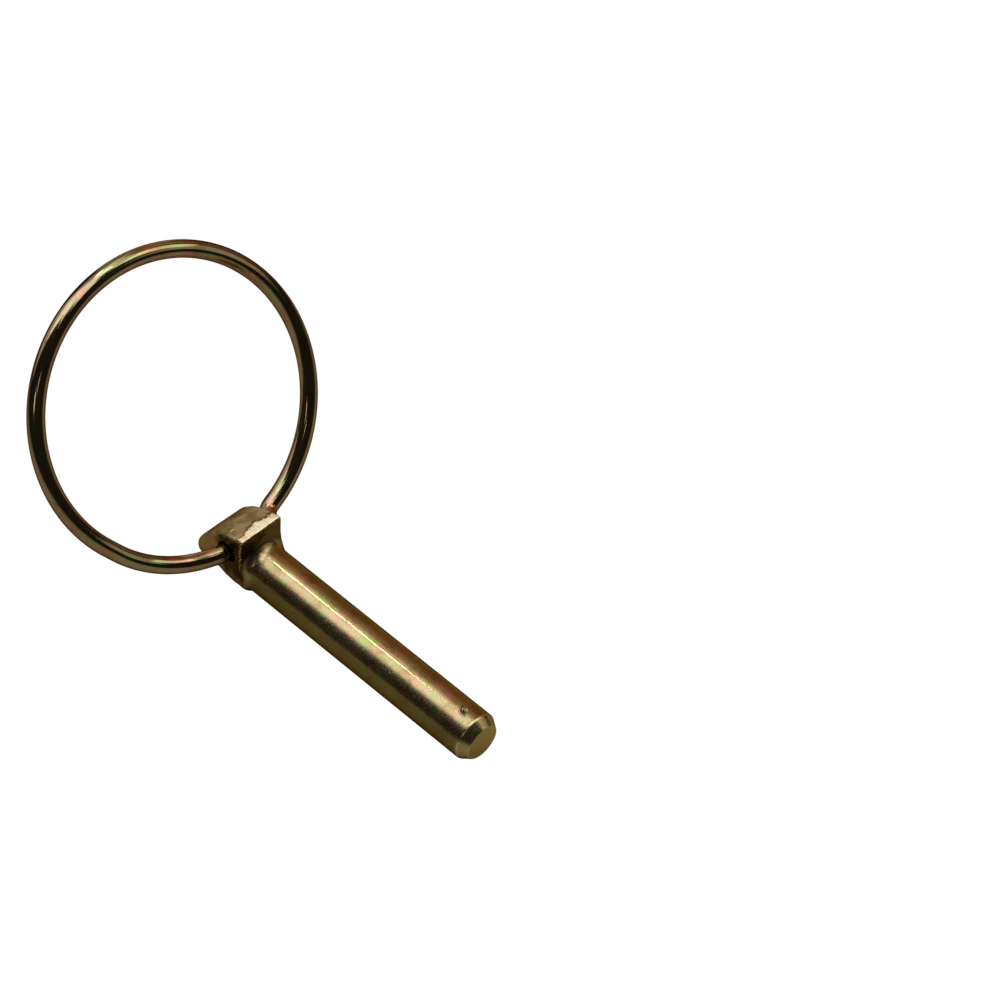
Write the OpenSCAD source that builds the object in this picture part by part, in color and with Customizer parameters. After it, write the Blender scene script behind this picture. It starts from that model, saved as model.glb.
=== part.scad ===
// Lynch pin: a forged steel pin with a sprung wire ring that swings on a bore through its head.
// Millimetres. The shank lies along +X, its nose points up (+Z) and the bore runs along Y.
// The origin is on the shank's axis, where its straight wall begins below the head.

/* [Shank] */
// Diameter of the straight shank
shank_d = 10; // [9.6:0.1:10.4]
// Length of the straight wall, from the neck to the start of the tip chamfer
shank_l = 55; // [54:0.5:70]
// Length of the tip chamfer along the shank
tip_l = 2; // [0.5:0.1:3]
// Diameter of the flat end face
tip_d = 7.4; // [5:0.1:9]
// Radius of the hollow fillet between the head and the shank
neck_r = 2.5; // [1.5:0.1:3]

/* [Head] */
// Width across the two flat sides of the head
head_w = 10.6; // [10.3:0.1:11.3]
// Length of the head from the flat shoulder back to the end of the crown
head_l = 12.55; // [11.5:0.05:14]
// Radius of the crown, the round end of the head
crown_r = 4.7; // [4:0.1:5]
// Radius of the brow, the long curve from the crown over to the nose
brow_r = 15.4; // [12:0.1:18]
// Rounding of the long edges of the head
edge_r = 0.8; // [0.3:0.1:1.5]
// How far the flat back stands proud of the shank
back_proud = 0.1; // [0.05:0.05:0.4]
// Radius of the swollen collar around the back of the head
collar_r = 5.8; // [5.7:0.1:6.6]
// Length of the full collar, from the shoulder back
collar_l = 4; // [3:0.1:6]
// Length over which the collar fades into the crown
collar_fade = 3; // [1:0.1:4]

/* [Nose] */
// Height of the nose above the shank's axis, at the shoulder
nose_h = 9.9; // [9:0.1:12]
// Width of the sheared face on top of the nose
nose_flat = 2.1; // [1:0.1:3]
// Fall of the sheared face from the shoulder to its back edge
nose_fall = 0.2; // [0:0.05:0.5]

/* [Bore for the ring] */
// Diameter of the bore
bore_d = 4.6; // [4.2:0.1:5]
// Distance of the bore behind the shoulder
bore_back = 4.1; // [3.6:0.1:5]
// Height of the bore above the shank's axis
bore_up = 4.3; // [3.5:0.1:4.6]

/* [Punch mark] */
// Width of the small round mark near the tip
mark_d = 2; // [1:0.1:3]
// Depth of the mark
mark_depth = 0.25; // [0.1:0.05:0.4]
// Distance of the mark from the end face
mark_from_tip = 4.85; // [3.5:0.05:8]
// Distance of the mark to the side of the shank's top line
mark_side = -0.37; // [-1:0.01:1]

/* [Ring] */
// Diameter of the spring wire
wire_d = 3.5; // [3:0.1:4]
// Diameter of the ring, measured to the middle of the wire
ring_d = 59.5; // [57:0.5:62]
// How far the ring's centre sits towards one side of the head
ring_side = -1.65; // [-2:0.01:0]
// Lean of the ring out of square with the bore, in degrees
ring_skew = 4.32; // [0:0.01:4.5]
// Angle between the ring and the shank as photographed, in degrees
ring_open = 121.4; // [100:0.1:150]
// Clearance between the closed ring and the shank
ring_seat = 0.12; // [0.05:0.01:0.3]
// Gap between the two wire ends inside the bore
end_gap = 2.2; // [1:0.1:4]
// Bend radius of the wire where it turns into the bore
elbow_r = 3; // [2.5:0.1:3]

/* [Left end of the ring] */
// Distance from the head's side at which the left end leaves the circle
leave_left = 20.6; // [20:0.1:22]
// Distance from there to the corner of the left end's flare
lead_left = 12.7; // [12:0.1:14]
// Radius of the left end's flare
flare_left = 25; // [20:0.5:26]
// Distance of the left bend in front of the head's side
elbow_left = 1.17; // [1.1:0.01:1.4]

/* [Right end of the ring] */
// Distance from the head's side at which the right end leaves the circle
leave_right = 4; // [3.9:0.1:5]
// Distance from there to the corner of the right end's flare
lead_right = 1.9; // [1.6:0.1:2]
// Radius of the right end's flare
flare_right = 3; // [2.5:0.1:3.2]
// Distance of the right bend in front of the head's side
elbow_right = 0.48; // [0.46:0.01:0.6]

/* [Hidden] */
$fn = 96;
shank_r = shank_d / 2;
wire_r = wire_d / 2;
ring_r = ring_d / 2;
half_w = head_w / 2;
// neighbouring shapes overlap by a hair, so that each seam is a clean crossing
overlap = 0.02;
// half the width of the raw forging, before its two sides are cut flat
raw_w = half_w + overlap;
shoulder_x = -neck_r;
crown_x = shoulder_x - head_l;
back_z = -shank_r - back_proud;
crown_mid = [crown_x + crown_r, back_z + crown_r - overlap];
tip_x = shank_l + tip_l;
bore_x = shoulder_x - bore_back;
// the brow runs through the back edge of the sheared face and touches the crown from outside
brow_end = [shoulder_x - nose_flat, nose_h - nose_fall];
to_end = brow_end - crown_mid;
// distance between the two middles, a hair more than the difference of the two radii
apart = brow_r - crown_r + overlap;
brow_deg = atan2(to_end.y, to_end.x)
  - acos((pow(apart, 2) + pow(norm(to_end), 2) - pow(brow_r, 2)) / (2 * apart * norm(to_end)));
brow_mid = crown_mid + apart * [cos(brow_deg), sin(brow_deg)];
// a point beyond the place where the brow meets the crown
past_meeting = crown_mid - 2 * crown_r * [cos(brow_deg), sin(brow_deg)];
// the round back just meets the flat sides at the shank's axis
sides_r = half_w + overlap / 2;
// a ball that leaves a mark of the stated width and depth
mark_ball_r = (pow(mark_d / 2, 2) + pow(mark_depth, 2)) / (2 * mark_depth);
mark_top = sqrt(pow(shank_r, 2) - pow(mark_side, 2));
// the closed ring lies flat on the shank, so its plane is above the bore
ring_lift = shank_r + wire_r + ring_seat - bore_up;
ring_mid = [ring_r, ring_side, ring_lift];
// straight wire is a hair thinner than its bends and let into them, so each joint is a clean step
step = 0.01;
let_in = 0.05;

// Shared shapes

// straight piece of wire between two points, let a little way into the bend at each end
module wire_rod(p, q) {
  d = (q - p) / norm(q - p);
  translate(p - let_in * d)
    rotate([0, acos(d.z), atan2(d.y, d.x)])
      cylinder(h = norm(q - p) + 2 * let_in, r = wire_r - step);
}

// distance from a corner to where its bend starts
function bend_cut(a, k, b, r) =
  r * tan(acos(((k - a) / norm(k - a)) * ((b - k) / norm(b - k))) / 2);

// rounded bend of the wire at corner k, on the way from a to b
module wire_bend(a, k, b, r) {
  u = (k - a) / norm(k - a);
  v = (b - k) / norm(b - k);
  turn = acos(u * v);
  inward = (v - u) / norm(v - u);
  centre = k + inward * r / cos(turn / 2);
  start = k - u * r * tan(turn / 2);
  e = (start - centre) / r;
  w = cross(e, u);
  multmatrix([[e.x, u.x, w.x, centre.x],
              [e.y, u.y, w.y, centre.y],
              [e.z, u.z, w.z, centre.z],
              [0, 0, 0, 1]])
    rotate_extrude(angle = turn)
      translate([r, 0])
        circle(wire_r);
}

// side outline drawn in X and Z, pushed out to the given width along Y
module side_slab(w) {
  translate([0, w / 2, 0])
    rotate([90, 0, 0])
      linear_extrude(w)
        children();
}

// round disc on an axis along Y, with rounded rims
module rimmed_disc(r) {
  rotate([90, 0, 0])
    rotate_extrude() {
      translate([0, -raw_w]) square([r - edge_r, 2 * raw_w]);
      translate([0, edge_r - raw_w]) square([r, 2 * (raw_w - edge_r)]);
      for (s = [-1, 1])
        translate([r - edge_r, s * (raw_w - edge_r)]) circle(edge_r);
    }
}

// The pin

// the middle of the head and the nose, seen from the side, before the brow is rounded
module nose_outline() {
  polygon([
    past_meeting,
    [past_meeting.x, nose_h - nose_fall * (shoulder_x - past_meeting.x) / nose_flat],
    [shoulder_x, nose_h],
    [shoulder_x, back_z - edge_r],
    [crown_mid.x, back_z - edge_r],
    crown_mid
  ]);
}

// the most that the forging fills: free above, and a round back with a collar below
module forging_limit() {
  translate([-2 * head_l, -head_w, 0])
    cube([tip_x + 4 * head_l, 2 * head_w, 2 * nose_h]);
  rotate([0, 90, 0])
    rotate_extrude()
      polygon([
        [0, -2 * head_l],
        [sides_r, -2 * head_l],
        [sides_r, shoulder_x - collar_l - collar_fade],
        [collar_r, shoulder_x - collar_l],
        [collar_r, tip_x + head_l],
        [0, tip_x + head_l]
      ]);
}

// crown, brow and nose, all with the same rounded long edges
module head() {
  intersection() {
    forging_limit();
    union() {
      intersection() {
        side_slab(2 * head_w) nose_outline();
        translate([brow_mid.x, 0, brow_mid.y]) rimmed_disc(brow_r);
      }
      translate([crown_mid.x, 0, crown_mid.y]) rimmed_disc(crown_r);
    }
  }
}

// the turned shank with its hollow neck
module shank() {
  intersection() {
    forging_limit();
    rotate([0, 90, 0])
      rotate_extrude() {
        difference() {
          translate([0, shoulder_x - neck_r]) square([shank_r + neck_r, 2 * neck_r]);
          translate([shank_r + neck_r, 0]) circle(neck_r);
        }
        polygon([
          [0, 0],
          [shank_r, 0],
          [shank_r, shank_l],
          [tip_d / 2, tip_x],
          [0, tip_x]
        ]);
      }
  }
}

// the forged pin: crown, nose, bored head and shank in one piece
module pin() {
  color([0.55, 0.43, 0.24])
    difference() {
      intersection() {
        union() {
          head();
          shank();
        }
        // the two flat sides and the flat back, cut in one go
        translate([-2 * head_l, -half_w, back_z])
          cube([tip_x + 4 * head_l, head_w, 3 * nose_h]);
      }
      translate([bore_x, half_w + 1, bore_up])
        rotate([90, 0, 0])
          cylinder(h = head_w + 2, d = bore_d);
      translate([tip_x - mark_from_tip, mark_side, mark_top + mark_ball_r - mark_depth])
        sphere(mark_ball_r);
    }
}

// The ring

// angle from the bore at which one end leaves the circle, at a distance from the head's side
function leave_deg(side, leave) = asin((half_w + leave - side * ring_side) / ring_r);

// one end of the wire, from the circle to inside the bore
module ring_end(side, leave, lead, flare_r, elbow_out) {
  a = leave_deg(side, leave);
  off_circle = ring_mid + ring_r * [-cos(a), side * sin(a), 0];
  corner = off_circle + lead * [-sin(a), -side * cos(a), 0];
  elbow = [0, side * (half_w + elbow_out), 0];
  tail = [0, side * end_gap / 2, 0];
  c1 = bend_cut(off_circle, corner, elbow, flare_r);
  c2 = bend_cut(corner, elbow, tail, elbow_r);
  way = (elbow - corner) / norm(elbow - corner);
  wire_rod(off_circle, corner - (c1 / lead) * (corner - off_circle));
  wire_bend(off_circle, corner, elbow, flare_r);
  wire_rod(corner + c1 * way, elbow - c2 * way);
  wire_bend(corner, elbow, tail, elbow_r);
  wire_rod(elbow - [0, side * c2, 0], tail);
}

// the ring as it lies closed: the bore is the Y axis and the shank runs along X
module closed_ring() {
  left_deg = leave_deg(-1, leave_left);
  right_deg = leave_deg(1, leave_right);
  ring_end(-1, leave_left, lead_left, flare_left, elbow_left);
  ring_end(1, leave_right, lead_right, flare_right, elbow_right);
  translate(ring_mid)
    rotate([0, 0, left_deg - 180])
      rotate_extrude(angle = 360 - left_deg - right_deg)
        translate([ring_r, 0])
          circle(wire_r);
}

// the sprung ring, raised behind the crown as photographed
module ring() {
  color([0.42, 0.33, 0.2])
    translate([bore_x, 0, bore_up])
      rotate([0, -ring_open, 0])
        rotate([-ring_skew, 0, 0])
          closed_ring();
}

pin();
ring();
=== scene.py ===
"""Looks of a lynch pin: a forged pin with a sprung wire ring, both yellow zinc plated.

The two visible pieces are surfaces worked out with numpy in millimetres, and put into meshes in metres.
"""

import logging
import math
from dataclasses import dataclass
from enum import Enum

import bpy
import numpy as np
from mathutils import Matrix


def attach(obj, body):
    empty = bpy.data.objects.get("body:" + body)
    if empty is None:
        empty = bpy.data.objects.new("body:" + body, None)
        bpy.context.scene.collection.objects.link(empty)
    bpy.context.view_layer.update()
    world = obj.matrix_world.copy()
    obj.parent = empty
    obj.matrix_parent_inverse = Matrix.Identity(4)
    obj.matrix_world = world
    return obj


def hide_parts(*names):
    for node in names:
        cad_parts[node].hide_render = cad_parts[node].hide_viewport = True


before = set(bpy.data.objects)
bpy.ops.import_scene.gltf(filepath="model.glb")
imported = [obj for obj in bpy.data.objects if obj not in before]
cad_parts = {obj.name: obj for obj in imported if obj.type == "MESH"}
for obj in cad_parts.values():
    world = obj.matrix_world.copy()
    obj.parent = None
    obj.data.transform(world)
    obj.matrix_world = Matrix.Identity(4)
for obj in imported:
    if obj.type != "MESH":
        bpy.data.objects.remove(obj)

log = logging.getLogger("lynch_pin")
MM = 0.001
Triple = tuple[float, float, float]
Rgb = Triple
Pair = tuple[float, float]
Socket = bpy.types.NodeSocket
Value = Socket | float
Array = np.ndarray
Groups = dict[str, bpy.types.NodeTree]


class Side(Enum):
    """The two flat sides of the head, by the sign of Y."""

    LEFT = -1
    RIGHT = 1

    @property
    def index(self) -> int:
        """Place of this side's value in a pair, with the left one first."""
        return (self.value + 1) // 2


# Numbers and vectors


def unit(v: Array) -> Array:
    """Vectors of length one along the last axis."""
    return v / np.maximum(np.linalg.norm(v, axis=-1, keepdims=True), 1e-12)


def ramp(x: Array, low: float, high: float) -> Array:
    """Smooth step: 0 below low, 1 above high, and 3t^2 - 2t^3 between them."""
    t = np.clip((x - low) / (high - low), 0.0, 1.0)
    return t * t * (3.0 - 2.0 * t)


def round_both(a: Array, b: Array, r: float) -> Array:
    """Distance to the space inside both a and b, with their edge rounded.

    The outer part is the length of (a + r, b + r) where both are positive, less r, which is a
    quarter circle of radius r between the two faces. Inside, it is the larger of the two.

    Args:
        a: distances to one surface, negative inside.
        b: distances to the other, negative inside.
        r: radius of the rounded edge.

    Returns:
        Distances, negative inside.
    """
    u, v = a + r, b + r
    outer = np.sqrt(np.maximum(u, 0) ** 2 + np.maximum(v, 0) ** 2)
    return np.minimum(np.maximum(u, v), 0) + outer - r


def ripples(p: Array, size: float, seed: int, waves: int = 14) -> Array:
    """Uneven lumps: the mean of plane sine waves in seeded directions, scaled to about 0..1.

    Args:
        p: points, in mm.
        size: usual width of a lump, in mm.
        seed: seed of the directions and phases.
        waves: number of waves.

    Returns:
        One height for each point.
    """
    rng = np.random.default_rng(seed)
    k = unit(rng.normal(size=(waves, 3))) * (math.pi / size) * rng.uniform(0.7, 1.6, (waves, 1))
    total = np.sin(p @ k.T + rng.uniform(0, 2 * math.pi, waves)).sum(-1)
    return np.clip(0.5 + total / (2.2 * math.sqrt(waves)), 0.0, 1.0)


def run_along(line: Array) -> Array:
    """Distance along a line of points from its start to each of them."""
    return np.append(0, np.cumsum(np.linalg.norm(np.diff(line, axis=0), axis=1)))


# Meshes and objects


def band(rows: Array) -> Array:
    """Quads between neighbouring rows of a grid of vertex numbers, closed round each row.

    Args:
        rows: vertex numbers, one row for each ring of vertices.

    Returns:
        Quads, four vertex numbers each.
    """
    a, b = rows[:-1], rows[1:]
    quads = np.stack([a, b, np.roll(b, -1, 1), np.roll(a, -1, 1)], -1)
    return quads.reshape(-1, 4)


def fan(pole: int, ring: Array) -> Array:
    """Triangles from a pole to each edge of a closed ring of vertices."""
    return np.stack([np.full(len(ring), pole), ring, np.roll(ring, -1)], -1)


def build_mesh(name: str, points: Array, quads: Array, tris: Array) -> bpy.types.Mesh:
    """A smooth mesh of quads and triangles, with its faces turned outwards as one closed shell.

    The signed volume of the shell is the sum over its triangles of a . (b x c) / 6. Where it is
    negative, each face is turned round.

    Args:
        name: name of the mesh.
        points: vertices, in mm.
        quads: vertex numbers of the quads.
        tris: vertex numbers of the triangles.

    Returns:
        The mesh, in metres.
    """
    halves = np.vstack([tris, quads[:, :3], quads[:, [0, 2, 3]]])
    a, b, c = (points[halves[:, i]] for i in range(3))
    if np.einsum("ij,ij->i", a, np.cross(b, c)).sum() < 0:
        quads, tris = quads[:, ::-1], tris[:, ::-1]
    mesh = bpy.data.meshes.new(name)
    mesh.vertices.add(len(points))
    mesh.vertices.foreach_set("co", (points * MM).astype(np.float32).ravel())
    corners = np.concatenate([quads.ravel(), tris.ravel()]).astype(np.int32)
    sizes = np.concatenate([np.full(len(quads), 4), np.full(len(tris), 3)]).astype(np.int32)
    starts = np.append(0, np.cumsum(sizes)[:-1]).astype(np.int32)
    mesh.loops.add(len(corners))
    mesh.loops.foreach_set("vertex_index", corners)
    mesh.polygons.add(len(sizes))
    mesh.polygons.foreach_set("loop_start", starts)
    mesh.update(calc_edges=True)
    mesh.validate()
    mesh.shade_smooth()
    return mesh


def set_masks(mesh: bpy.types.Mesh, masks: dict[str, Array]) -> None:
    """Stores one number for each vertex under each name, for the materials to read.

    Args:
        mesh: the mesh that gets the attributes.
        masks: the numbers of each attribute by its name.
    """
    for name, values in masks.items():
        layer = mesh.attributes.new(name, "FLOAT", "POINT")
        layer.data.foreach_set("value", values.astype(np.float32))


def add_piece(mesh: bpy.types.Mesh, body: str, node: str, finish: bpy.types.Material) -> None:
    """Puts a mesh in the scene as the piece that stands for a CAD node.

    Args:
        mesh: the piece's mesh.
        body: the body that the piece rides on.
        node: the CAD node that it replaces.
        finish: the piece's material.
    """
    piece = bpy.data.objects.new(mesh.name, mesh)
    bpy.context.scene.collection.objects.link(piece)
    mesh.materials.append(finish)
    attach(piece, body)
    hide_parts(node)
    log.info("%s: %d vertices, %d faces", mesh.name, len(mesh.vertices), len(mesh.polygons))


def aim(thing: bpy.types.Object, axes: tuple[Array, Array, Array], place: Array) -> None:
    """Puts a light or the camera into the scene, turned to its own three axes.

    Args:
        thing: the object.
        axes: its right, its up and its back direction.
        place: where it stands, in metres.
    """
    bpy.context.scene.collection.objects.link(thing)
    basis = np.eye(4)
    basis[:3] = np.stack([*axes, place], -1)
    thing.matrix_world = basis.T.tolist()


# Finishes


@dataclass
class Sheet:
    """A node tree under construction, with short calls to add and join nodes."""

    tree: bpy.types.NodeTree

    def add(self, kind: str, inputs: dict | None = None, **settings: object) -> bpy.types.Node:
        """Adds a node.

        Args:
            kind: Blender's name of the node type.
            inputs: values or output sockets for its inputs, by name or number.
            **settings: other properties of the node.

        Returns:
            The new node.
        """
        node = self.tree.nodes.new(kind)
        for key, value in settings.items():
            setattr(node, key, value)
        self.fill(node, inputs or {})
        return node

    def fill(self, node: bpy.types.Node, inputs: dict) -> None:
        """Sets or joins a node's inputs.

        Args:
            node: the node.
            inputs: values or output sockets for its inputs, by name or number.
        """
        for key, value in inputs.items():
            if isinstance(value, Socket):
                self.tree.links.new(value, node.inputs[key])
            else:
                node.inputs[key].default_value = value

    def noise(self, vector: Socket, scale: Value, detail: float = 2.0, rough: float = 0.5,
              twist: float = 0.0) -> Socket:
        """Fractal noise at a vector."""
        values = {"Vector": vector, "Scale": scale, "Detail": detail, "Roughness": rough, "Distortion": twist}
        return self.add("ShaderNodeTexNoise", values).outputs[0]

    def span(self, value: Value, low: float, high: float, to_low: float = 0.0,
             to_high: float = 1.0) -> Socket:
        """A value carried smoothly from one range to another."""
        ends = {0: value, 1: low, 2: high, 3: to_low, 4: to_high}
        return self.add("ShaderNodeMapRange", ends, interpolation_type="SMOOTHSTEP").outputs[0]

    def maths(self, operation: str, a: Value, b: Value = 0.0) -> Socket:
        """One step of arithmetic."""
        return self.add("ShaderNodeMath", {0: a, 1: b}, operation=operation).outputs[0]

    def plus(self, a: Value, b: Value) -> Socket:
        """The sum of two values."""
        return self.maths("ADD", a, b)

    def times(self, a: Value, b: Value) -> Socket:
        """The product of two values."""
        return self.maths("MULTIPLY", a, b)

    def most(self, a: Value, b: Value) -> Socket:
        """The larger of two values."""
        return self.maths("MAXIMUM", a, b)

    def mix(self, share: Value, a: Socket | Rgb, b: Socket | Rgb) -> Socket:
        """Two colours mixed, with the share of the second one."""
        a, b = (c if isinstance(c, Socket) else (*c, 1.0) for c in (a, b))
        return self.add("ShaderNodeMix", {0: share, 6: a, 7: b}, data_type="RGBA").outputs[2]

    def mask(self, name: str) -> Socket:
        """The number that each vertex carries under a name."""
        return self.add("ShaderNodeAttribute", attribute_name=name).outputs["Fac"]


def new_group(name: str, inputs: dict[str, str], outputs: dict[str, str]
              ) -> tuple[Sheet, dict[str, Socket], bpy.types.Node]:
    """An empty shader group with named sockets.

    Args:
        name: name of the group.
        inputs: kind of socket by name, as Vector, Color or Float.
        outputs: the same for the outputs.

    Returns:
        The group's sheet, its input sockets by name, and its output node.
    """
    sheet = Sheet(bpy.data.node_groups.new(name, "ShaderNodeTree"))
    for names, way in ((inputs, "INPUT"), (outputs, "OUTPUT")):
        for label, kind in names.items():
            sheet.tree.interface.new_socket(name=label, in_out=way, socket_type="NodeSocket" + kind)
    start, end = sheet.add("NodeGroupInput"), sheet.add("NodeGroupOutput")
    return sheet, {s.name: s for s in start.outputs}, end


def passivate_group() -> bpy.types.NodeTree:
    """The mottled colour of a yellow chromate film.

    Broad noise leads from the gold to the brown. Green and rose blooms lie over it in patches a few
    millimetres wide, and a fine speckle of both breaks them up.

    Returns:
        The group. Inputs Vector, Gold, Brown, Green, Rose, Bloom and Cloud; outputs Colour and Speckle.
    """
    kinds = {"Vector": "Vector", "Gold": "Color", "Brown": "Color", "Green": "Color", "Rose": "Color",
             "Bloom": "Float", "Cloud": "Float"}
    s, i, end = new_group("passivate_film", kinds, {"Colour": "Color", "Speckle": "Float"})
    base = s.mix(s.span(s.noise(i["Vector"], i["Cloud"], 4.0), 0.4, 0.62), i["Gold"], i["Brown"])
    speck = s.noise(i["Vector"], 2100.0, 3.0, 0.6, 0.6)
    for label, scale, sign in (("Green", 290.0, 1.0), ("Rose", 410.0, -1.0)):
        patch = s.span(s.noise(i["Vector"], scale, 3.0, 0.6, 0.5), 0.48, 0.66)
        dots = s.span(s.times(speck, sign), 0.5 * sign + 0.02, 0.5 * sign + 0.14)
        cover = s.maths("MINIMUM", s.plus(s.times(patch, 0.7), s.times(dots, 0.45)), 1.0)
        base = s.mix(s.times(cover, i["Bloom"]), base, i[label])
    s.fill(end, {"Colour": base, "Speckle": s.span(s.noise(i["Vector"], 2700.0, 2.0, 0.6), 0.4, 0.62)})
    return s.tree


def grain_group() -> bpy.types.NodeTree:
    """Fine uneven height of plated steel: soft waves, a close grain and a few long faint scratches.

    Returns:
        The group. Inputs Vector, Stretched, Wave, Grain and Scratch; output Height.
    """
    kinds = {"Vector": "Vector", "Stretched": "Vector", "Wave": "Float", "Grain": "Float", "Scratch": "Float"}
    s, i, end = new_group("plated_grain", kinds, {"Height": "Float"})
    waves = s.times(s.noise(i["Vector"], 340.0, 3.0, 0.5), i["Wave"])
    close = s.times(s.noise(i["Vector"], 2600.0, 3.0, 0.6), i["Grain"])
    lines = s.times(s.span(s.noise(i["Stretched"], 1.0, 2.0, 0.6), 0.6, 0.72), i["Scratch"])
    s.fill(end, {"Height": s.maths("SUBTRACT", s.plus(waves, close), lines)})
    return s.tree


@dataclass(frozen=True)
class Coat:
    """A colour laid over the film where a mask says, by a share, whole or in patches."""

    mask: str
    share: float
    colour: Rgb
    patchy: bool = False


@dataclass(frozen=True)
class ZincFinish:
    """Yellow zinc plating on forged or drawn steel.

    Gold and brown are the film's ground, green and rose its blooms, and cloud is how many broad clouds
    lie in a metre. Wave, grain and scratch are heights in units of bump_mm. Limb is the film's colour
    where the surface turns away, partly its own shift with angle and partly painted shade; rim is painted
    shade, a dark line at its very edge; and edge is the shader's own tint there.
    """

    name: str
    gold: Rgb
    brown: Rgb
    green: Rgb
    rose: Rgb
    limb: Rgb
    edge: Rgb
    bloom: float
    cloud: float
    roughness: Pair
    wave: float
    grain: float
    scratch: float
    bump_mm: float
    # Painted shade: a dark line where the surface turns away from the camera.
    rim: Rgb = (0.09, 0.05, 0.045)
    limb_share: float = 0.85
    limb_turn: Pair = (0.25, 0.8)
    painted_rim_turn: Pair = (0.58, 0.92)

    def start(self, groups: Groups) -> tuple[bpy.types.Material, Sheet, dict]:
        """Begins the material with the film's colour and the plating's grain.

        Args:
            groups: the shared node groups by name.

        Returns:
            The material, its sheet, and what its own marks build on: the place, the grain group, and the
            colour, roughness and height sockets.
        """
        material = bpy.data.materials.new(self.name)
        material.use_nodes = True
        sheet = Sheet(material.node_tree)
        here = sheet.add("ShaderNodeTexCoord").outputs["Object"]
        colours = {k.capitalize(): (*getattr(self, k), 1.0) for k in ("gold", "brown", "green", "rose")}
        own = {"Vector": here, **colours, "Bloom": self.bloom, "Cloud": self.cloud}
        film = sheet.add("ShaderNodeGroup", own, node_tree=groups["film"])
        own = {"Vector": here, "Wave": self.wave, "Grain": self.grain, "Scratch": self.scratch}
        grain = sheet.add("ShaderNodeGroup", own, node_tree=groups["grain"])
        rough = sheet.span(film.outputs["Speckle"], 0.0, 1.0, *self.roughness)
        return material, sheet, {"here": here, "grain": grain, "colour": film.outputs["Colour"],
                                 "rough": rough, "height": grain.outputs["Height"]}

    def close(self, sheet: Sheet, marks: dict) -> None:
        """The redder and darker limb is partly the film's own shift with angle and partly painted shade, and
        the dark line at its very edge is painted shade.

        Args:
            sheet: the material's sheet.
            marks: its colour, rough and height sockets, and where there is one, how much less it reddens.
        """
        bump = sheet.add("ShaderNodeBump", {"Height": marks["height"], "Distance": self.bump_mm * MM})
        facing = sheet.add("ShaderNodeLayerWeight", {"Blend": 0.4}).outputs["Facing"]
        # Redder and darker towards the limb: partly the film's own shift with angle, partly painted shade.
        redder = sheet.span(facing, *self.limb_turn, 0.0, self.limb_share)
        redder = sheet.times(redder, sheet.maths("SUBTRACT", 1.0, marks.get("calm", 0.0)))
        tint = sheet.mix(redder, marks["colour"], self.limb)
        # Painted shade: a dark line at the limb's very edge.
        tint = sheet.mix(sheet.span(facing, *self.painted_rim_turn, 0.0, self.limb_share), tint, self.rim)
        sheet.fill(sheet.tree.nodes["Principled BSDF"], {
            "Normal": bump.outputs[0], "Base Color": tint, "Roughness": marks["rough"], "Metallic": 1.0,
            "Specular Tint": (*self.edge, 1.0)})


# The limb colours are partly the film's own shift with angle and partly painted shade where the surface turns
# away.
PIN_ZINC = ZincFinish(
    "pin_zinc", gold=(0.60, 0.50, 0.215), brown=(0.44, 0.31, 0.12), green=(0.38, 0.58, 0.14),
    rose=(0.86, 0.40, 0.28), limb=(0.46, 0.25, 0.08), edge=(0.58, 0.46, 0.20), bloom=0.85, cloud=210.0,
    roughness=(0.23, 0.31), wave=1.1, grain=0.03, scratch=0.15, bump_mm=0.03)
RING_ZINC = ZincFinish(
    "ring_zinc", gold=(0.58, 0.52, 0.26), brown=(0.48, 0.33, 0.16), green=(0.42, 0.62, 0.24),
    rose=(0.80, 0.36, 0.28), limb=(0.34, 0.13, 0.08), edge=(0.34, 0.13, 0.08), bloom=0.9, cloud=120.0,
    roughness=(0.1, 0.14), wave=0.35, grain=0.02, scratch=0.1, bump_mm=0.02)


# The pin


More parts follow.
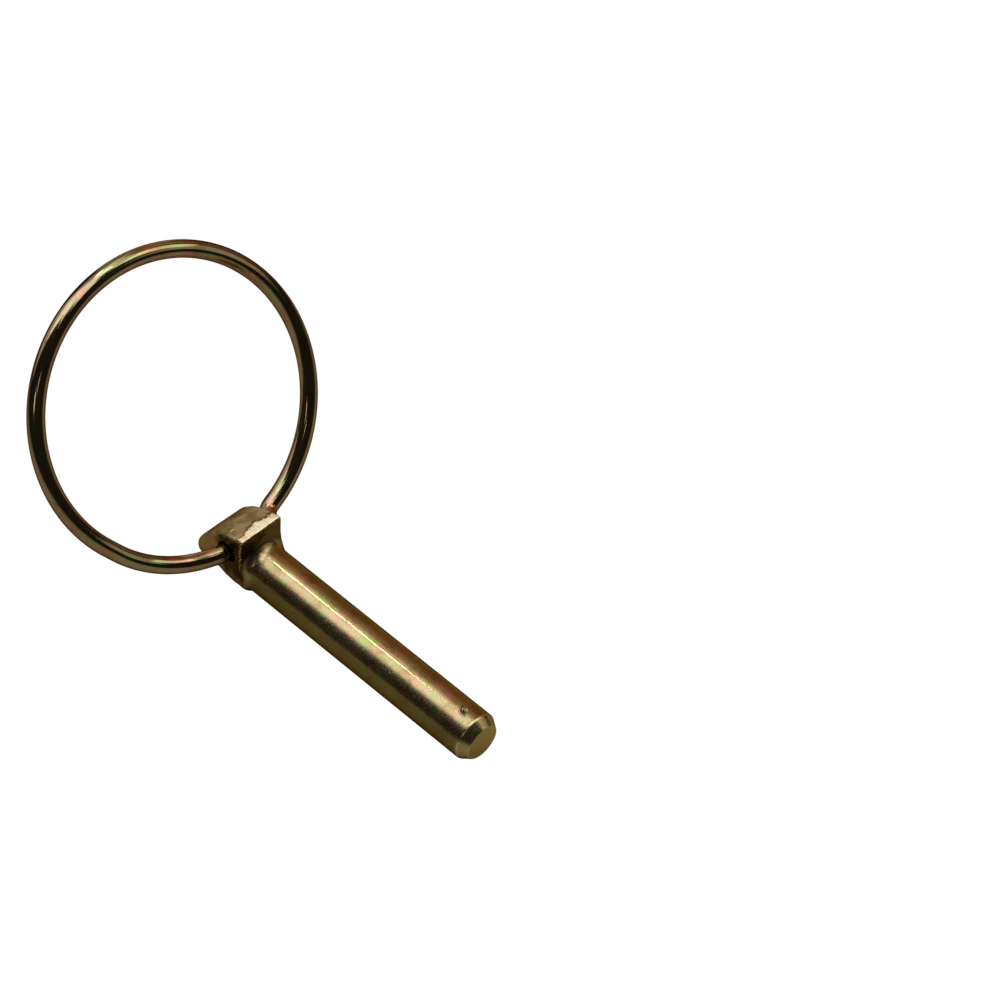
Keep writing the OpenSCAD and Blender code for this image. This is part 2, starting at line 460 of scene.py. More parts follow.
@dataclass
class ForgedPin:
    """The forged pin: crown, nose, bored head and shank, in mm.

    The shank runs along X from the shoulder's fillet at 0, and Z is up from its axis. Dents are the width,
    seed and height of the forging's lumps, stroke is how close the shear's marks lie along X, Y and Z, and
    tear is the sheared face's torn edge as places along Y and X.
    """

    shank_r: float = 5.0
    shank_l: float = 55.0
    tip_x: float = 57.0
    tip_r: float = 3.7
    neck_r: float = 2.5
    half_w: float = 5.3
    crown_r: float = 4.7
    crown_x: float = -15.05
    brow_r: float = 15.4
    back_z: float = -5.1
    back_r: float = 5.31
    collar_r: float = 5.8
    collar_swell: Pair = (-9.5, -6.3)
    nose_h: float = 9.9
    nose_flat: float = 2.1
    nose_fall: float = 0.2
    bore: Pair = (-6.6, 4.3)
    bore_r: float = 2.3
    mark: Pair = (51.94, -0.11)
    mark_r: float = 2.125
    mark_depth: float = 0.12

    head_edge: float = 0.8
    shear_edge: float = 0.12
    shoulder_edge: float = 0.2
    back_edge: float = 0.5
    collar_edge: float = 0.4
    flat_edge: float = 0.3
    chamfer_edge: float = 0.16
    end_edge: float = 0.08
    rim_edge: float = 0.3
    dents: tuple[tuple[float, int, float], ...] = ((2.6, 3, 0.1), (1.1, 8, 0.04))
    stroke: Triple = (0.3, 1.0, 0.3)
    tear: tuple[Pair, ...] = (
        (-5.2, -4.8), (-4.9, -4.3), (-4.0, -3.85), (-2.95, -3.7), (-2.75, -4.2), (-1.5, -4.55),
        (-0.8, -4.6), (0.9, -5.2), (1.2, -5.15), (1.8, -4.45), (3.3, -4.45), (5.2, -4.7))
    flake: Pair = (-7.1, -3.3)
    streak_y: float = -0.83
    rings: Pair = (52.24, 0.2)
    rings_way: Pair = (0.695, 0.719)
    rings_gap: float = 0.45

    columns: int = 264
    head_rows: int = 158
    neck_rows: int = 25
    shank_rows: int = 86
    mark_rows: int = 26
    tip_rows: int = 44
    edge_rows: int = 9
    patch_rows: int = 7
    rim_rows: int = 6
    tunnel_rows: int = 12
    patch_room: float = 0.12
    heart_x: float = -6.5
    upright_x: float = 8.0
    finer_x: float = 50.4
    tip_heart_x: float = 53.6

    steps_per_m: float = 850.0
    step_height: float = 15.0
    flake_height: float = 6.0
    pale: tuple[Rgb, Rgb] = ((1.0, 0.72, 0.38), (1.0, 0.9, 0.52))
    ring_ink: Rgb = (0.03, 0.027, 0.02)
    coats: tuple[Coat, ...] = (
        Coat("slope", 0.45, (0.44, 0.29, 0.10)),
        Coat("slope", 0.75, (0.88, 0.69, 0.38), patchy=True),
        # Painted shade: darker olive on the shank's lower side.
        Coat("under", 0.7, (0.19, 0.18, 0.045)),
        # Painted light: a pale tint on the end face and, at half, on the chamfer.
        Coat("end", 0.85, (0.95, 0.80, 0.36)),
        # Painted shade: dark brown on the shoulder's face by the neck.
        Coat("shoulder", 0.94, (0.18, 0.115, 0.045)),
        # Painted shade: near black round the bore's mouth on the head's flat sides.
        Coat("painted_bore_shade", 0.9, (0.07, 0.05, 0.035)),
        # Painted shade: a reddish-brown band behind the sheared face's torn edge.
        Coat("painted_torn_edge_shade", 0.8, (0.20, 0.10, 0.05)),
    )
    finish: ZincFinish = PIN_ZINC

    def brow(self) -> tuple[Array, Array]:
        """The middles of the crown's circle and of the larger circle of the brow, in X and Z.

        The brow's circle touches the crown's from outside and passes through the nose's back edge. The
        triangle of the two middles and that edge gives its middle by the law of cosines.

        Returns:
            The crown's middle and the brow's.
        """
        mid = np.array([self.crown_x + self.crown_r, self.back_z + self.crown_r])
        to = np.array([-self.neck_r - self.nose_flat, self.nose_h - self.nose_fall]) - mid
        apart, far = self.brow_r - self.crown_r, np.linalg.norm(to)
        corner = math.acos((apart ** 2 + far ** 2 - self.brow_r ** 2) / (2 * apart * far))
        angle = math.atan2(to[1], to[0]) - corner
        return mid, mid + apart * np.array([math.cos(angle), math.sin(angle)])

    def skin(self, x: Array, z: Array) -> Array:
        """Distance in the side view to the crown and the brow.

        It is the distance to the brow's large circle up to the line through both middles, and to the
        crown's circle behind that line and below the crown's middle.

        Args:
            x: places along the shank.
            z: heights.

        Returns:
            Distances, negative inside.
        """
        mid, big = self.brow()
        way = unit(mid - big)
        crown = np.hypot(x - mid[0], z - mid[1]) - self.crown_r
        brow = np.hypot(x - big[0], z - big[1]) - self.brow_r
        behind = way[0] * (z - big[1]) - way[1] * (x - big[0]) > 0
        lower = np.where(x < mid[0], crown, -self.crown_r)
        return np.where(z < mid[1], lower, np.where(behind, crown, brow))

    def inside(self, p: Array, bored: bool = False) -> Array:
        """Distance to the pin's surface, in mm, negative inside.

        The head is what lies inside its side outline and its two sides, with rounded edges, and below the
        axis inside a round back that swells into a collar. The shank is a round bar with a hollow fillet
        of a quarter circle, cut back to the head's sides, and a chamfered end. The pin is both together,
        less the ball of the punch mark.

        Args:
            p: points, in mm.
            bored: whether the bore is taken out.

        Returns:
            One distance for each point.
        """
        x, y, z = p[..., 0], p[..., 1], p[..., 2]
        rho = np.hypot(y, z)
        lumps = sum(ripples(p, size, seed) * height for size, seed, height in self.dents)
        hammered = ramp(-x, 1.0, 4.0)
        side = np.abs(y) - self.half_w + 0.5 * lumps * hammered
        limit = self.back_r + (self.collar_r - self.back_r) * ramp(x, *self.collar_swell)
        back = np.where(z < 0, rho - limit, -1.0) + 1.6 * lumps * ramp(-x, 0.5, 2.0)
        flat = self.back_z - z
        shear = (z - self.nose_h) + (-self.neck_r - x) * self.nose_fall / self.nose_flat
        shear = shear + ripples(p * self.stroke, 0.9, 21) * 0.04
        shoulder = x + self.neck_r + 0.06 * lumps
        head = self.skin(x, z) + lumps * hammered
        for face, edge in ((side, self.head_edge), (shear, self.shear_edge), (shoulder, self.shoulder_edge),
                           (back, self.back_edge), (flat, self.flat_edge)):
            head = round_both(head, face, edge)
        quarter = np.sqrt(np.maximum(self.neck_r ** 2 - np.clip(x, -self.neck_r, 0) ** 2, 0))
        neck = np.where(x < 0, self.shank_r + self.neck_r - quarter, self.shank_r)
        run, rise = self.tip_x - self.shank_l, self.shank_r - self.tip_r
        chamfer = ((x - self.shank_l) * rise + (rho - self.shank_r) * run) / math.hypot(run, rise)
        bar = np.maximum(rho - neck, -2 * self.neck_r - x)
        for face, edge in ((side, self.flat_edge), (back, self.collar_edge), (flat, self.flat_edge),
                           (chamfer, self.chamfer_edge), (x - self.tip_x, self.end_edge)):
            bar = round_both(bar, face, edge)
        top = math.sqrt(self.shank_r ** 2 - self.mark[1] ** 2)
        ball = np.linalg.norm(p - np.array([*self.mark, top + self.mark_r - self.mark_depth]), axis=-1)
        d = round_both(np.minimum(head, bar), self.mark_r - ball, self.end_edge)
        if bored:
            d = round_both(d, self.bore_r - np.hypot(x - self.bore[0], z - self.bore[1]), self.rim_edge)
        return d

    def reach(self, start: Array, way: Array, far: float = 20.0) -> Array:
        """Where rays from inside the pin leave it, found by halving the span 34 times.

        Args:
            start: points inside the pin.
            way: directions of length one.
            far: a distance that is surely outside.

        Returns:
            Points on the surface.
        """
        near, out = np.zeros(start.shape[:-1]), np.full(start.shape[:-1], far)
        for _ in range(34):
            mid = (near + out) / 2
            within = self.inside(start + mid[..., None] * way) < 0
            near, out = np.where(within, mid, near), np.where(within, out, mid)
        return start + near[..., None] * way

    def reach_pole(self, sign: int) -> float:
        """Where the axis leaves the pin, at the crown for -1 or at the tip for 1."""
        start = np.array([[self.heart_x if sign < 0 else self.tip_heart_x, 0.0, 0.0]])
        return float(self.reach(start, np.array([[float(sign), 0.0, 0.0]]))[0, 0])

    def rows(self) -> tuple[Array, Array]:
        """Start on the axis and lean of each ring of rays, from the crown to the end face.

        The rays fan out from the head's heart, stand up along the shank, and fan out again at the tip. The
        lean is the angle from the direction of the crown. Rows lie closer round the punch mark and at the
        two edges of the chamfer.

        Returns:
            The places on the axis, and the leans in radians.
        """
        head = np.radians(np.linspace(0.35, 142.0, self.head_rows))
        last = math.tan(head[-1] - math.pi / 2)
        t = np.linspace(0, 1, self.neck_rows)[1:]
        away_x = self.heart_x + t * (self.upright_x - self.heart_x)
        away = np.arctan(last * (1 - ramp(t, 0.0, 1.0))) + math.pi / 2
        plain = np.linspace(self.upright_x, self.finer_x, self.shank_rows)[1:]
        finer = np.linspace(self.finer_x, self.tip_heart_x, self.mark_rows)[1:]
        straight = np.concatenate([plain, finer])
        close = np.linspace(-1.0, 1.0, self.edge_rows)
        corners = ((self.shank_l, self.shank_r), (self.tip_x, self.tip_r))
        edges = [90 + math.degrees(math.atan2(x - self.tip_heart_x, r)) + close for x, r in corners]
        tip = np.radians(np.sort(np.concatenate([np.linspace(90, 179.6, self.tip_rows)[1:], *edges])))
        start = np.concatenate([np.full(len(head), self.heart_x), away_x, straight,
                                np.full(len(tip), self.tip_heart_x)])
        return start, np.concatenate([head, away, np.full(len(straight), math.pi / 2), tip])

    def grid(self) -> Array:
        """The skin as rings of points: rays that start and lean as rows says, turned evenly about the axis.

        Returns:
            Points by row and column.
        """
        start, lean = self.rows()
        turn = 2 * math.pi * np.arange(self.columns) / self.columns
        a, t = np.meshgrid(lean, turn, indexing="ij")
        way = np.stack([-np.cos(a), np.sin(a) * np.cos(t), np.sin(a) * np.sin(t)], -1)
        origin = np.zeros_like(way)
        origin[..., 0] = start[:, None]
        return self.reach(origin, way)

    def bore_patch(self, rim: Array, side: Side) -> Array:
        """Rings of points from a hole in the grid to the bore's mouth and round its rim.

        Each ring is a share of the way from the hole to the mouth's circle, on the head's side. The last
        rings turn a quarter circle into the bore.

        Args:
            rim: points round the hole in the grid.
            side: the side of the head.

        Returns:
            The rings, without the hole's own points.
        """
        centre = np.array(self.bore)
        flat = rim[:, [0, 2]]
        angle = np.arctan2(flat[:, 1] - centre[1], flat[:, 0] - centre[0])
        spoke = np.stack([np.cos(angle), np.sin(angle)], -1)
        mouth = centre + (self.bore_r + self.rim_edge) * spoke
        way = np.zeros_like(rim)
        way[:, 1] = side.value
        rings = []
        for t in np.linspace(0, 1, self.patch_rows)[1:]:
            spot = flat * (1 - t) + mouth * t
            start = np.stack([spot[:, 0], np.zeros(len(rim)), spot[:, 1]], -1)
            rings.append(self.reach(start, way, 8.0))
        face = rings[-1][:, 1]
        for b in np.radians(np.linspace(0, 90, self.rim_rows))[1:]:
            ring = centre + (self.bore_r + self.rim_edge * (1 - math.sin(b))) * spoke
            depth = side.value * self.rim_edge * (1 - math.cos(b))
            rings.append(np.stack([ring[:, 0], face - depth, ring[:, 1]], -1))
        return np.array(rings)

    def hole(self, grid: Array) -> tuple[int, int, int, int]:
        """The block of the grid round the bore on the right side.

        Args:
            grid: the skin's points by row and column.

        Returns:
            Its first and last row, and its first and last column.
        """
        near = np.hypot(grid[..., 0] - self.bore[0], grid[..., 2] - self.bore[1])
        near = (near < self.bore_r + self.rim_edge + self.patch_room) & (grid[..., 1] > self.half_w / 2)
        r, c = np.nonzero(near)
        return r.min() - 1, r.max() + 1, c.min() - 1, c.max() + 1

    def build(self, groups: Groups) -> None:
        """Builds the pin as one closed skin with its bore.

        A block of the grid is left open on each side and closed by the bore's patch. The patches meet
        through the bore as straight rows, and the crown and the tip close at a pole.

        Args:
            groups: the shared node groups by name.
        """
        grid = self.grid()
        count, wide = grid.shape[:2]
        poles = np.array([[self.reach_pole(-1), 0, 0], [self.reach_pole(1), 0, 0]])
        points = [grid.reshape(-1, 3), poles]
        number = np.arange(count * wide).reshape(count, wide)
        next_number = number.size + len(poles)
        keep = np.ones((count - 1, wide), bool)
        r0, r1, c0, c1 = self.hole(grid)
        down, over = np.arange(r0, r1), np.arange(c0, c1)
        loop_r = np.concatenate([np.full(len(over), r0), down, np.full(len(over), r1), down[::-1] + 1])
        loop_c = np.concatenate([over, np.full(len(down), c1), over[::-1] + 1, np.full(len(down), c0)])
        quads, ends = [], []
        for side in Side:
            col = loop_c if side is Side.RIGHT else (wide // 2 - loop_c) % wide
            first = c0 if side is Side.RIGHT else (wide // 2 - c1) % wide
            keep[r0:r1, first:first + len(over)] = False
            rings = self.bore_patch(grid[loop_r, col], side)
            made = next_number + np.arange(rings.shape[0] * rings.shape[1]).reshape(rings.shape[:2])
            next_number += made.size
            points.append(rings.reshape(-1, 3))
            rows = np.vstack([number[loop_r, col][None], made])
            quads.append(band(rows if side is Side.RIGHT else rows[:, ::-1]))
            ends.append((rings[-1], made[-1]))
        t = np.linspace(0, 1, self.tunnel_rows)[1:-1, None, None]
        tunnel = ends[0][0][None] * (1 - t) + ends[1][0][None] * t
        made = next_number + np.arange(tunnel.shape[0] * tunnel.shape[1]).reshape(tunnel.shape[:2])
        points.append(tunnel.reshape(-1, 3))
        quads.append(band(np.vstack([ends[0][1][None], made, ends[1][1][None]])[:, ::-1]))
        quads.append(band(number).reshape(count - 1, wide, 4)[keep])
        tris = np.vstack([fan(number.size, number[0]), fan(number.size + 1, number[-1])[:, ::-1]])
        all_points = np.vstack(points)
        mesh = build_mesh("forged_pin", all_points, np.vstack(quads), tris)
        self.set_normals(mesh, all_points)
        set_masks(mesh, self.masks(all_points))
        add_piece(mesh, "pin", "pin", self.dress(groups))

    def set_normals(self, mesh: bpy.types.Mesh, points: Array) -> None:
        """Gives each vertex the surface's own normal, the slope of the distance over 0.04 mm.

        Args:
            mesh: the pin's mesh.
            points: its vertices, in mm.
        """
        h = 0.02 * np.eye(3)
        slope = [self.inside(points + h[i], True) - self.inside(points - h[i], True) for i in range(3)]
        mesh.normals_split_custom_set_from_vertices(unit(np.stack(slope, -1)).tolist())

    def masks(self, points: Array) -> dict[str, Array]:
        """Where the pin's marks are, from ramps over distances in mm, most of them set off by ripples.

        Sheared is the bright face in front of the torn line, and brink a brown band of painted shade behind
        it. Slope is the crown and the brow, with the flake on it. Round the bore, soot is painted shade;
        burr is a pale painted highlight along the shoulder's upright edges, under is painted shade on the
        shank's lower side, streak lies in a thin line on top of it, and worn on the chamfer's edge. The
        shoulder mask is painted shade on the shoulder's face, and end is painted light on the end face and,
        at half, on the chamfer. Mark is the distance from the middle of the punch mark's rings, and
        mark_open the share of that way that points to where they are open.

        Args:
            points: vertices, in mm.

        Returns:
            One number for each vertex, by the mask's name.
        """
        x, y, z = points.T
        torn = np.interp(y, *zip(*self.tear)) + 0.5 * (ripples(points * self.stroke, 0.3, 5) - 0.5)
        sheared = ramp(z, 9.28, 9.4) * ramp(x - torn, -0.05, 0.05)
        # Painted shade: a band on the slope side just behind the torn edge.
        painted_torn_edge_shade = ramp(torn - x, 0.0, 0.08) * ramp(x - torn, -0.75, -0.3) * ramp(z, 8.2, 8.8)
        head = ramp(-x, 0.2, 2.2)
        slope = ramp(self.skin(x, z), -0.9, -0.2) * ramp(z, 1.0, 4.0) * head * (1 - sheared)
        off_x, off_y = x - self.flake[0], y - self.flake[1]
        flake = np.hypot((off_x + 0.12 * off_y ** 2) / 0.26, off_y / 0.75) + 0.5 * (z < 6)
        # Painted shade: a dark patch from the bore towards the nose, on both flat sides.
        hole = np.maximum(np.abs(x + 5.2) / 3.5, np.abs(z - 4.2) / 5.0)
        hole = hole + 0.3 * (ripples(points, 1.2, 12) - 0.5)
        painted_bore_shade = ramp(-hole, -1.2, -0.8) * ramp(np.abs(y), 4.9, 5.1) * head
        # Painted highlight: a pale wavy line on the upright edges between the sides and the shoulder.
        wobble = 0.25 * (ripples(points * (0.2, 0.2, 1.0), 0.5, 31) - 0.5)
        painted_edge_highlight = ramp(-np.abs(x + 2.75 + wobble), -0.16, -0.06) * ramp(np.abs(y), 4.85, 5.1) * ramp(z, 1.5, 3.0)
        sway = 0.3 * (ripples(points * (0.25, 0, 0), 0.9, 17) - 0.5)
        streak = ramp(-np.abs(y - self.streak_y + sway), -0.4, -0.2) * (z > 0)
        across, along = x - self.rings[0], y - self.rings[1]
        mark = np.hypot(across, along)
        return {
            "sheared": sheared,
            "painted_torn_edge_shade": painted_torn_edge_shade * ramp(y, -3.4, -1.0),
            "head": head,
            "slope": slope,
            "flake": ramp(-flake, -1.2, -0.5),
            "painted_bore_shade": painted_bore_shade * (1 - painted_edge_highlight),
            "painted_edge_highlight": painted_edge_highlight,
            # Painted shade on the shoulder's face.
            "shoulder": ramp(x, -2.75, -2.45) * ramp(np.hypot(y, z), 5.5, 6.4) * ramp(-x, -0.5, 1.0),
            "streak": streak * ramp(x, 0.5, 3.0) * ramp(-x, -47.0, -36.0),
            # Painted shade on the shank's lower side.
            "under": ramp(-z, -3.0, -1.7) * ramp(x, -1.5, 1.5) * ramp(-x, -55.0, -54.0),
            "worn": 0.8 * ramp(-np.abs(x - self.shank_l), -0.25, -0.1),
            # Painted light on the end face, and at half on the chamfer.
            "end": 0.5 * ramp(x, 54.95, 55.1) + 0.5 * ramp(x, 56.85, 56.95),
            "mark": np.where((z > 3) & (x > 45), mark, 9.0),
            "mark_open": (self.rings_way[0] * across + self.rings_way[1] * along) / np.maximum(mark, 0.05),
        }

    def dress(self, groups: Groups) -> bpy.types.Material:
        """Some coats are painted shade and one is painted light, and the same pale colour as the bare metal
        is a painted highlight along the shoulder's upright edges.

        The sheared face carries fine steps across it, a saw-tooth of the place along Y set off by noise.
        The rings round the punch mark are a sine of the distance from it, dark and sunk on one side only.

        Args:
            groups: the shared node groups by name.

        Returns:
            The material.
        """
        material, s, m = self.finish.start(groups)
        stretched = s.add("ShaderNodeMapping", {"Vector": m["here"], "Scale": (260.0, 3200.0, 3200.0)})
        s.fill(m["grain"], {"Stretched": stretched.outputs[0]})
        patches = s.span(s.noise(m["here"], 330.0, 3.0), 0.36, 0.56)
        for coat in self.coats:
            cover = s.times(s.mask(coat.mask), coat.share)
            cover = s.times(cover, patches) if coat.patchy else cover
            m["colour"] = s.mix(cover, m["colour"], coat.colour)
        on_end = s.maths("MINIMUM", s.times(s.mask("end"), 2.0), 1.0)
        m["calm"] = s.most(s.times(s.mask("head"), 0.75), on_end)
        torn = s.add("ShaderNodeMapping", {"Vector": m["here"], "Scale": (0.22, 1.0, 0.22)}).outputs[0]
        tear = s.noise(torn, 1000.0)
        across = s.add("ShaderNodeSeparateXYZ", {0: torn}).outputs["Y"]
        steps = s.maths("FRACT", s.plus(s.times(across, self.steps_per_m), s.times(tear, 0.3)))
        sheared, flake = s.mask("sheared"), s.mask("flake")
        # Bare pale metal where sheared, flaked or worn; along the shoulder's edges the same pale colour is a
        # painted highlight.
        bare = s.most(s.most(sheared, s.mask("painted_edge_highlight")), s.most(flake, s.mask("worn")))
        m["colour"] = s.mix(bare, m["colour"], s.mix(s.span(tear, 0.35, 0.6), *self.pale))
        mark = s.mask("mark")
        waves = s.maths("SINE", s.times(mark, 2 * math.pi / self.rings_gap))
        near = s.times(s.span(mark, 1.3, 1.55, 1.0, 0.0), s.span(s.mask("mark_open"), -0.35, 0.1, 1.0, 0.0))
        m["colour"] = s.mix(s.times(near, s.span(waves, -0.6, 0.2, 0.15, 1.0)), m["colour"], self.ring_ink)
        m["rough"] = s.plus(m["rough"], s.times(s.mask("slope"), 0.16))
        m["rough"] = s.plus(m["rough"], s.times(s.mask("streak"), -0.17))
        for height in (s.times(s.times(steps, sheared), self.step_height), s.times(flake, self.flake_height),
                       s.times(s.times(waves, near), 0.5)):
            m["height"] = s.plus(m["height"], height)
        self.finish.close(s, m)
        return material


# The ring


@dataclass
class SprungRing:
    """The spring-wire ring, in mm, drawn closed about the bore and then opened and leaned, in degrees.

    Leave, lead, flare and elbow are pairs for the left and the right end.
    """

    wire_r: float = 1.75
    ring_r: float = 29.75
    side: float = -1.65
    lift: float = 2.57
    half_w: float = 5.3
    leave: Pair = (20.6, 4.0)
    lead: Pair = (12.7, 1.9)
    flare: Pair = (25.0, 3.0)
    elbow: Pair = (1.17, 0.48)
    elbow_r: float = 3.0
    end_gap: float = 2.2
    skew: float = 4.32
    opened: float = 121.4
    hinge: Triple = (-6.6, 0.0, 4.3)
    end_edge: float = 0.35
    cap_degrees: tuple[float, ...] = (80.0, 60.0, 40.0, 20.0)
    around: int = 44
    circle_steps: int = 420
    arc_step: float = 0.16
    step: float = 0.36
    finish: ZincFinish = RING_ZINC

    def bend(self, a: Array, k: Array, b: Array, r: float) -> Array:
        """Points on the arc that rounds a corner.

        Its middle lies on the corner's halving line, r / cos(turn / 2) away.

        Args:
            a: where the way comes from.
            k: the corner.
            b: where the way goes to.
            r: radius of the arc.

        Returns:
            The arc's points from the first straight to the second.
        """
        u, v = unit(k - a), unit(b - k)
        turn = math.acos(float(np.clip(u @ v, -1, 1)))
        centre = k + unit(v - u) * r / math.cos(turn / 2)
        e = (k - u * r * math.tan(turn / 2) - centre) / r
        t = np.linspace(0, turn, max(8, int(turn * r / self.arc_step)))[:, None]
        return centre + r * (np.cos(t) * e + np.sin(t) * u)

    def leave_angle(self, side: Side) -> float:
        """Angle from the bore at which one end leaves the circle."""
        return math.asin((self.half_w + self.leave[side.index] - side.value * self.side) / self.ring_r)

    def leg(self, side: Side) -> Array:
        """Centre line of one end, from inside the bore round the elbow and the flare to the circle.

        Args:
            side: the end's side of the head.

        Returns:
            Points from the end of the wire to where the circle starts.
        """
        a, s, i = self.leave_angle(side), side.value, side.index
        mid = np.array([self.ring_r, self.side, self.lift])
        off = mid + self.ring_r * np.array([-math.cos(a), s * math.sin(a), 0])
        corner = off + self.lead[i] * np.array([-math.sin(a), -s * math.cos(a), 0])
        knee = np.array([0, s * (self.half_w + self.elbow[i]), 0])
        tail = np.array([0, s * self.end_gap / 2, 0])
        elbow = self.bend(tail, knee, corner, self.elbow_r)
        return np.vstack([tail[None], elbow, self.bend(knee, corner, off, self.flare[i])])

    def path(self) -> tuple[Array, Array]:
        """Centre line of the whole wire in even steps, opened and leaned about the bore.

        Returns:
            The line's points, and the direction across the ring's plane.
        """
        first, last = math.pi + self.leave_angle(Side.LEFT), 3 * math.pi - self.leave_angle(Side.RIGHT)
        t = np.linspace(first, last, self.circle_steps)
        circle = np.stack([self.ring_r * (1 + np.cos(t)), self.side + self.ring_r * np.sin(t),
                           np.full_like(t, self.lift)], -1)
        line = np.vstack([self.leg(Side.LEFT), circle, self.leg(Side.RIGHT)[::-1]])
        run = run_along(line)
        even = np.linspace(0, run[-1], int(run[-1] / self.step))
        line = np.stack([np.interp(even, run, line[:, i]) for i in range(3)], -1)
        a, b = -math.radians(self.skew), -math.radians(self.opened)
        lean = np.array([[1, 0, 0], [0, math.cos(a), -math.sin(a)], [0, math.sin(a), math.cos(a)]])
        raised = np.array([[math.cos(b), 0, math.sin(b)], [0, 1, 0], [-math.sin(b), 0, math.cos(b)]])
        turned = raised @ lean
        return line @ turned.T + self.hinge, turned[:, 2]

    def build(self, groups: Groups) -> None:
        """Builds the ring as a round wire carried along its centre line.

        At each step the wire is a circle across the line, from the ring's own normal and the line's side
        direction. Each end closes over a few shrinking circles.

        Args:
            groups: the shared node groups by name.
        """
        line, normal = self.path()
        tangent = unit(np.gradient(line, axis=0))
        across = unit(np.cross(normal, tangent))
        up = np.cross(tangent, across)
        caps = np.radians(self.cap_degrees)
        out, shrink = self.end_edge * np.sin(caps), self.end_edge * (1 - np.cos(caps))
        centre = np.vstack([line[0] - np.outer(out, tangent[0]), line,
                            line[-1] + np.outer(out[::-1], tangent[-1])])
        radius = np.concatenate([self.wire_r - shrink, np.full(len(line), self.wire_r),
                                 self.wire_r - shrink[::-1]])
        at = np.clip(np.arange(len(centre)) - len(caps), 0, len(line) - 1)
        t = 2 * math.pi * np.arange(self.around) / self.around
        spoke = np.cos(t)[None, :, None] * across[at][:, None] + np.sin(t)[None, :, None] * up[at][:, None]
        grid = centre[:, None] + radius[:, None, None] * spoke
        points = np.vstack([grid.reshape(-1, 3), centre[0], centre[-1]])
        number = np.arange(grid.shape[0] * self.around).reshape(grid.shape[:2])
        tris = np.vstack([fan(number.size, number[0]), fan(number.size + 1, number[-1])[:, ::-1]])
        mesh = build_mesh("wire_ring", points, band(number), tris)
        run = run_along(centre)
        set_masks(mesh, {
            "run": np.append(np.repeat(run, self.around), [0, run[-1]]),
            "turn_c": np.append(np.tile(np.cos(t), len(run)), [0, 0]),
            "turn_s": np.append(np.tile(np.sin(t), len(run)), [0, 0]),
        })
        add_piece(mesh, "ring", "ring", self.dress(groups))

    def dress(self, groups: Groups) -> bpy.types.Material:
        """Material of the ring: the film with faint drawing lines along the wire.

        Args:
            groups: the shared node groups by name.

        Returns:
            The material.
        """
        material, s, m = self.finish.start(groups)
        scaled = (("run", 0.12), ("turn_c", 9.0), ("turn_s", 9.0))
        along = {i: s.times(s.mask(name), scale) for i, (name, scale) in enumerate(scaled)}
        along = s.add("ShaderNodeCombineXYZ", along).outputs[0]
        s.fill(m["grain"], {"Stretched": along})
        self.finish.close(s, m)
        return material


# The room


@dataclass(frozen=True)
class Softbox:
    """A rectangular soft light, by its direction and its size as seen from the part, in degrees.

    The azimuth is counted from +X towards +Y. The glow is the light's radiance, and far its distance in
    metres.
    """

    name: str
    azimuth: float
    elevation: float
    wide: float
    tall: float
    glow: float
    colour: Rgb
    far: float = 0.8

    def place(self) -> None:
        """Puts the light in the room, facing the part, with the power that gives it the stated glow.

        A flat light that shines to one side has the power pi x radiance x area.
        """
        a, e = math.radians(self.azimuth), math.radians(self.elevation)
        back = np.array([math.cos(a) * math.cos(e), math.sin(a) * math.cos(e), math.sin(e)])
        flat = np.array([-math.sin(a), math.cos(a), 0.0])
        data = bpy.data.lights.new(self.name, "AREA")
        data.shape = "RECTANGLE"
        halves = (math.tan(math.radians(v / 2)) for v in (self.wide, self.tall))
        data.size, data.size_y = (2 * self.far * half for half in halves)
        data.energy, data.color = math.pi * self.glow * data.size * data.size_y, self.colour
        aim(bpy.data.objects.new(self.name, data), (flat, np.cross(back, flat), back), back * self.far)


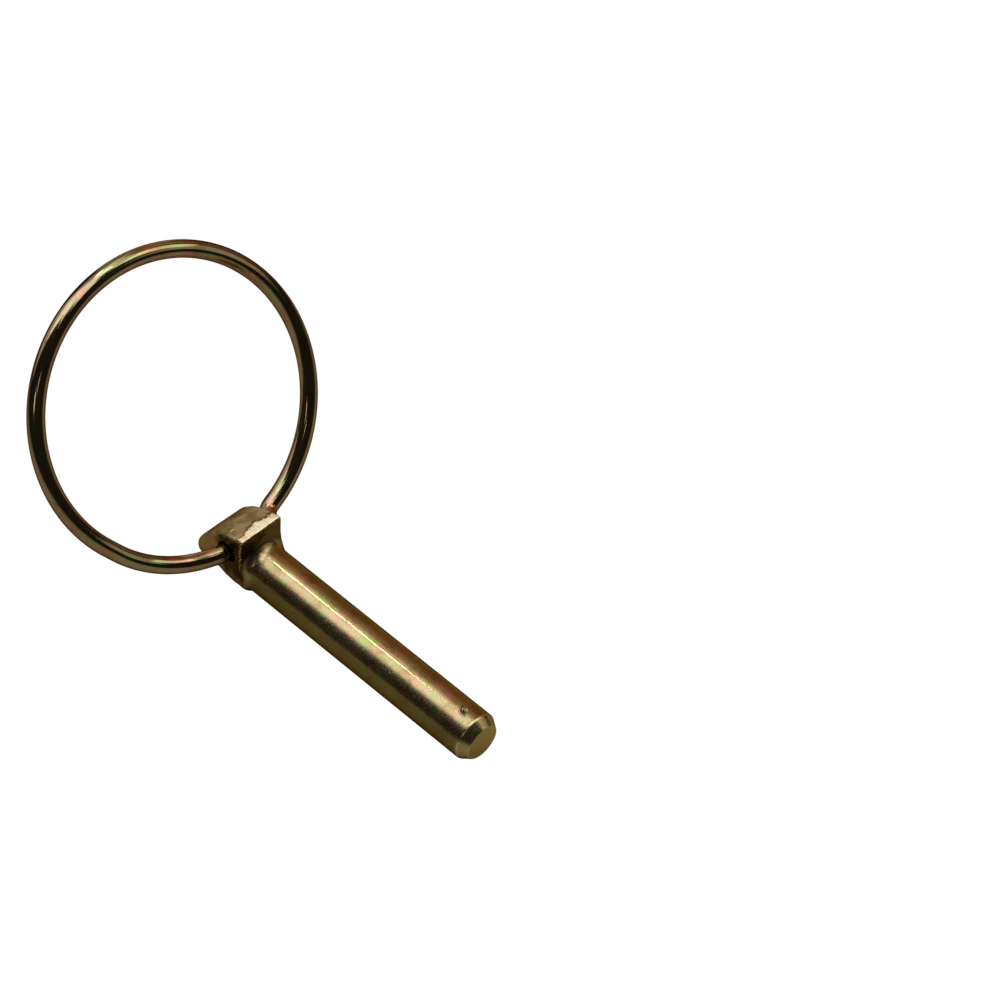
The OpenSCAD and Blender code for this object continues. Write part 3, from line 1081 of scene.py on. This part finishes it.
@dataclass
class Studio:
    """Pale floor, soft lights and the camera.

    The floor's height and the camera's place are in mm, and the camera's angles in degrees, with the
    azimuth counted from -Y towards +X. The floor's fade and width are in metres.
    """

    floor_z: float = -5.1
    floor_w: float = 3.0
    floor_fade: Pair = (0.06, 0.4)
    floor_near: Rgb = (0.54, 0.46, 0.34)
    # Painted fall-off of light: the floor's colour far from the part, seen only in reflections.
    floor_painted_falloff: Rgb = (0.09, 0.08, 0.06)
    haze: Rgb = (1.0, 0.95, 0.85)
    haze_glow: float = 0.012
    eye: Triple = (303.4834, -291.3300, 490.8878)
    azimuth: float = 40.3312
    elevation: float = 47.9995
    roll: float = 4.9494
    lens: float = 121.0481
    sensor: float = 36.0
    lights: tuple[Softbox, ...] = (
        Softbox("overhead", 180.0, 87.0, 33.0, 28.0, 1.35, (0.96, 1.0, 1.2)),
        Softbox("back", -157.0, 57.0, 28.0, 33.0, 1.4, (0.97, 1.0, 1.2)),
        Softbox("back_low", -160.0, 24.0, 38.0, 32.0, 0.42, (1.0, 0.95, 0.9)),
        Softbox("beam", 8.0, 70.0, 12.0, 18.0, 1.25, (0.9, 1.0, 0.95)),
        Softbox("right", 62.0, 50.0, 30.0, 26.0, 0.95, (1.0, 0.98, 0.85)),
        Softbox("right_low", 48.0, 26.0, 40.0, 22.0, 0.3, (1.0, 0.95, 0.8)),
        Softbox("behind", 104.0, 69.0, 54.0, 18.0, 0.62, (1.0, 0.95, 0.88)),
        Softbox("behind_low", 160.0, 46.0, 30.0, 26.0, 0.34, (1.0, 0.85, 0.75)),
        Softbox("strip", 158.0, 62.0, 3.0, 12.0, 4.5, (0.95, 1.0, 1.3)),
        Softbox("front", -72.0, 36.0, 5.0, 9.0, 1.6, (1.0, 1.0, 0.9)),
        Softbox("glint", -50.0, 45.0, 3.0, 5.0, 1.6, (1.0, 1.0, 0.9)),
        Softbox("warm", 112.0, 20.0, 60.0, 40.0, 0.16, (1.0, 0.42, 0.25)),
        Softbox("warm_high", 122.0, 47.0, 34.0, 22.0, 0.26, (1.0, 0.6, 0.4)),
        Softbox("low", 147.0, 9.0, 30.0, 19.0, 0.6, (1.05, 0.95, 1.0)),
    )

    def camera(self) -> None:
        """Puts the camera where the photograph was taken from, with no shift."""
        data = bpy.data.cameras.new("camera")
        a, e, r = (math.radians(v) for v in (self.azimuth, self.elevation, self.roll))
        back = np.array([math.sin(a) * math.cos(e), -math.cos(a) * math.cos(e), math.sin(e)])
        flat = np.array([math.cos(a), math.sin(a), 0.0])
        rise = np.cross(back, flat)
        right = math.cos(r) * flat + math.sin(r) * rise
        up = math.cos(r) * rise - math.sin(r) * flat
        camera = bpy.data.objects.new("camera", data)
        aim(camera, (right, up, back), np.array(self.eye) * MM)
        data.lens, data.sensor_width = self.lens, self.sensor
        data.clip_start, data.clip_end = 0.01, 20.0
        bpy.context.scene.camera = camera

    def floor(self) -> None:
        """A wide flat floor, pale to the camera, and in reflections dimmer, and darker away from the part."""
        mesh = bpy.data.meshes.new("floor")
        w, z = self.floor_w, self.floor_z * MM
        mesh.from_pydata([(-w, -w, z), (w, -w, z), (w, w, z), (-w, w, z)], [], [(0, 1, 2, 3)])
        ground = bpy.data.objects.new("floor", mesh)
        bpy.context.scene.collection.objects.link(ground)
        material = bpy.data.materials.new("floor")
        material.use_nodes = True
        sheet = Sheet(material.node_tree)
        bsdf = sheet.tree.nodes["Principled BSDF"]
        here = sheet.add("ShaderNodeTexCoord").outputs["Object"]
        away = sheet.add("ShaderNodeVectorMath", {0: here}, operation="LENGTH").outputs["Value"]
        # Darker away from the part: painted fall-off of light, seen only in reflections.
        pale = sheet.mix(sheet.span(away, *self.floor_fade), self.floor_near, self.floor_painted_falloff)
        sheet.fill(bsdf, {"Base Color": pale, "Roughness": 0.9})
        seen = sheet.add("ShaderNodeLightPath").outputs["Is Camera Ray"]
        white = sheet.add("ShaderNodeEmission", {"Color": (1.0, 1.0, 1.0, 1.0), "Strength": 1.0}).outputs[0]
        shade = sheet.add("ShaderNodeMixShader", {0: seen, 1: bsdf.outputs[0], 2: white}).outputs[0]
        sheet.fill(sheet.tree.nodes["Material Output"], {"Surface": shade})
        mesh.materials.append(material)

    def build(self) -> None:
        """Sets the camera, the floor, the lights and the surrounding glow."""
        self.camera()
        self.floor()
        world = bpy.data.worlds.new("room")
        world.use_nodes = True
        sheet = Sheet(world.node_tree)
        sheet.fill(sheet.tree.nodes["Background"], {"Color": (*self.haze, 1.0), "Strength": self.haze_glow})
        bpy.context.scene.world = world
        for box in self.lights:
            box.place()
        bpy.context.scene.view_settings.view_transform = "Standard"


def main() -> None:
    """Builds the studio, the pin and the ring."""
    logging.basicConfig(level=logging.INFO, format="%(name)s: %(message)s")
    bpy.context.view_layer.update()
    Studio().build()
    groups = {"film": passivate_group(), "grain": grain_group()}
    ForgedPin().build(groups)
    SprungRing().build(groups)


if __name__ == "__main__":
    main()
